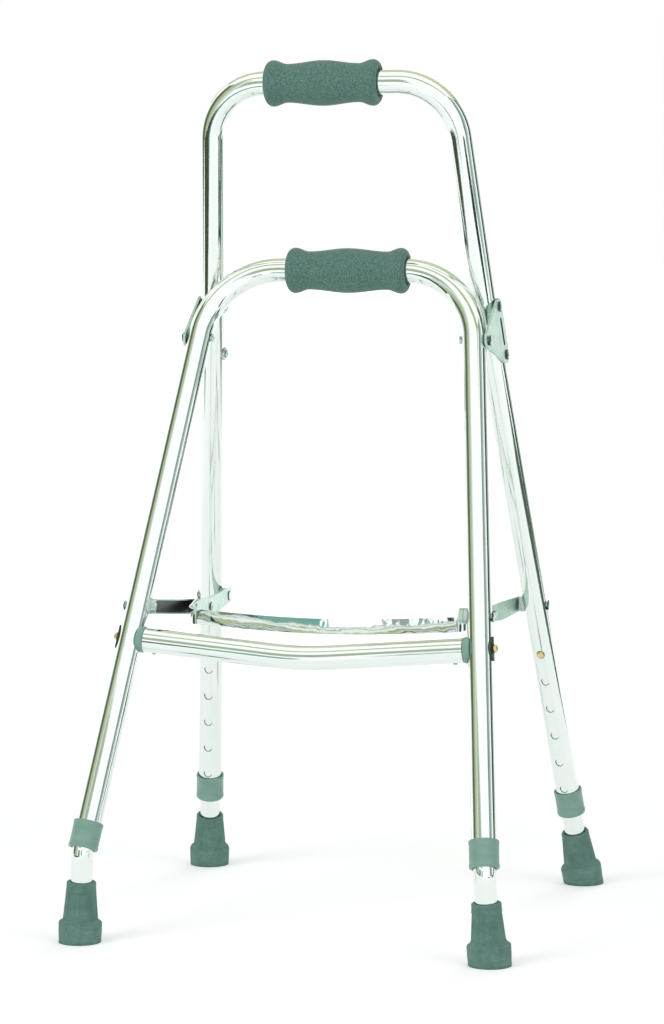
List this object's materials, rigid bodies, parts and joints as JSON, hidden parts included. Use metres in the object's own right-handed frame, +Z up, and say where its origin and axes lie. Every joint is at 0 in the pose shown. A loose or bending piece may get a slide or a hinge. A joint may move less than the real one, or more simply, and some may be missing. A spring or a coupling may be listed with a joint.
{
  "type": "hemi walker",
  "caption": "Folding one-handed walking aid: two bent-tube frames hinged together, two foam grips, a bail-operated folding linkage, height-adjustable legs and rubber tips.",
  "frame": {"origin": "on the floor, midway between the outer edges of the four tips", "axes": "+Z up, +X to the right, -Y towards the short front frame"},
  "size_m": [0.4162, 0.4261, 0.7799],
  "materials": {
    "bright_aluminium": "bright dipped, polished",
    "pale_plate": "zinc plated, satin",
    "polished_strip": "polished",
    "zinc": "zinc plated",
    "dark_metal": "blackened",
    "brass": "plain",
    "grey_plastic": "moulded, satin",
    "pale_plastic": "moulded, semi-gloss",
    "foam": "closed-cell foam, speckled",
    "rubber": "moulded, matte"
  },
  "bodies": {
    "rear_frame": {"rear_frame_tube": "bright_aluminium", "rear_grip": "foam", "hinge_plate_left": "pale_plate", "hinge_plate_right": "pale_plate", "plate_rivet_low_left": "zinc", "plate_rivet_low_right": "zinc", "plate_rivet_top_left": "zinc", "plate_rivet_top_right": "zinc", "rivet_washer_low_left": "zinc", "rivet_washer_low_right": "zinc", "rivet_washer_top_left": "zinc", "rivet_washer_top_right": "zinc", "lever_pivot_bolt_left": "zinc", "lever_pivot_bolt_right": "zinc", "lever_spacer_left": "pale_plastic", "lever_spacer_right": "pale_plastic", "rear_collar_left": "grey_plastic", "rear_collar_right": "grey_plastic"},
    "front_frame": {"front_frame_tube": "bright_aluminium", "front_grip": "foam", "crossbar": "bright_aluminium", "crossbar_cap_left": "grey_plastic", "crossbar_cap_right": "grey_plastic", "crossbar_bolt_left": "brass", "crossbar_bolt_right": "brass", "saddle_washer_left": "dark_metal", "saddle_washer_right": "dark_metal", "crossbar_screw_left": "zinc", "crossbar_screw_right": "zinc", "pivot_rivet_left": "zinc", "pivot_rivet_right": "zinc", "link_pivot_bolt_left": "zinc", "link_pivot_bolt_right": "zinc", "link_spacer_left": "pale_plastic", "link_spacer_right": "pale_plastic", "front_collar_left": "grey_plastic", "front_collar_right": "grey_plastic"},
    "link_right": {"link_right": "pale_plate"},
    "link_left": {"link_left": "pale_plate"},
    "bail": {"bail_strip": "polished_strip", "lever_left": "pale_plate", "lever_right": "pale_plate", "knee_rivet_left": "zinc", "knee_rivet_right": "zinc", "bail_rivet_left": "zinc", "bail_rivet_right": "zinc"},
    "rear_leg_right": {"rear_extension_right": "bright_aluminium", "rear_tip_right": "rubber"},
    "rear_button_right": {"rear_clip_right": "brass"},
    "rear_leg_left": {"rear_extension_left": "bright_aluminium", "rear_tip_left": "rubber"},
    "rear_button_left": {"rear_clip_left": "brass"},
    "front_leg_right": {"front_extension_right": "bright_aluminium", "front_tip_right": "rubber"},
    "front_button_right": {"front_clip_right": "brass"},
    "front_leg_left": {"front_extension_left": "bright_aluminium", "front_tip_left": "rubber"},
    "front_button_left": {"front_clip_left": "brass"}
  },
  "joints": [
    {"name": "fold", "type": "hinge", "parent": "rear_frame", "child": "front_frame", "pos_m": [0, -0.01589, 0.5289], "axis": [1, 0, 0], "range_deg": [0, 30]},
    {"name": "link_right_pivot", "type": "hinge", "parent": "front_frame", "child": "link_right", "pos_m": [0, -0.11218, 0.2913], "axis": [1, 0, 0], "range_deg": [0, 10.07]},
    {"name": "link_left_pivot", "type": "hinge", "parent": "front_frame", "child": "link_left", "pos_m": [0, -0.11218, 0.2913], "axis": [1, 0, 0], "range_deg": [0, 10.07]},
    {"name": "bail_knee", "type": "hinge", "parent": "link_right", "child": "bail", "pos_m": [0, 0.02796, 0.27608], "axis": [1, 0, 0], "range_deg": [-150.94, 0]},
    {"name": "rear_leg_right_height", "type": "slide", "parent": "rear_frame", "child": "rear_leg_right", "axis": [0.1021, 0.2874, -0.9524], "range_m": [0, 0.14]},
    {"name": "rear_button_right_press", "type": "slide", "parent": "rear_leg_right", "child": "rear_button_right", "axis": [0.0561, 0.9542, 0.2939], "range_m": [0, 0.0042], "stiffness_N_per_m": 600, "deforming": ["rear_clip_right"]},
    {"name": "rear_leg_left_height", "type": "slide", "parent": "rear_frame", "child": "rear_leg_left", "axis": [-0.1021, 0.2874, -0.9524], "range_m": [0, 0.14]},
    {"name": "rear_button_left_press", "type": "slide", "parent": "rear_leg_left", "child": "rear_button_left", "axis": [-0.0561, 0.9542, 0.2939], "range_m": [0, 0.0042], "stiffness_N_per_m": 600, "deforming": ["rear_clip_left"]},
    {"name": "front_leg_right_height", "type": "slide", "parent": "front_frame", "child": "front_leg_right", "axis": [0.1095, -0.3733, -0.9212], "range_m": [0, 0.14]},
    {"name": "front_button_right_press", "type": "slide", "parent": "front_leg_right", "child": "front_button_right", "axis": [0.0426, -0.9242, 0.3796], "range_m": [0, 0.0042], "stiffness_N_per_m": 600, "deforming": ["front_clip_right"]},
    {"name": "front_leg_left_height", "type": "slide", "parent": "front_frame", "child": "front_leg_left", "axis": [-0.1095, -0.3733, -0.9212], "range_m": [0, 0.14]},
    {"name": "front_button_left_press", "type": "slide", "parent": "front_leg_left", "child": "front_button_left", "axis": [-0.0426, -0.9242, 0.3796], "range_m": [0, 0.0042], "stiffness_N_per_m": 600, "deforming": ["front_clip_left"]}
  ],
  "couplings": [
    {"joint": "link_right_pivot", "follows": "fold", "ratio": 0.33566},
    {"joint": "link_left_pivot", "follows": "fold", "ratio": 0.33566},
    {"joint": "bail_knee", "follows": "fold", "ratio": -5.0312}
  ]
}
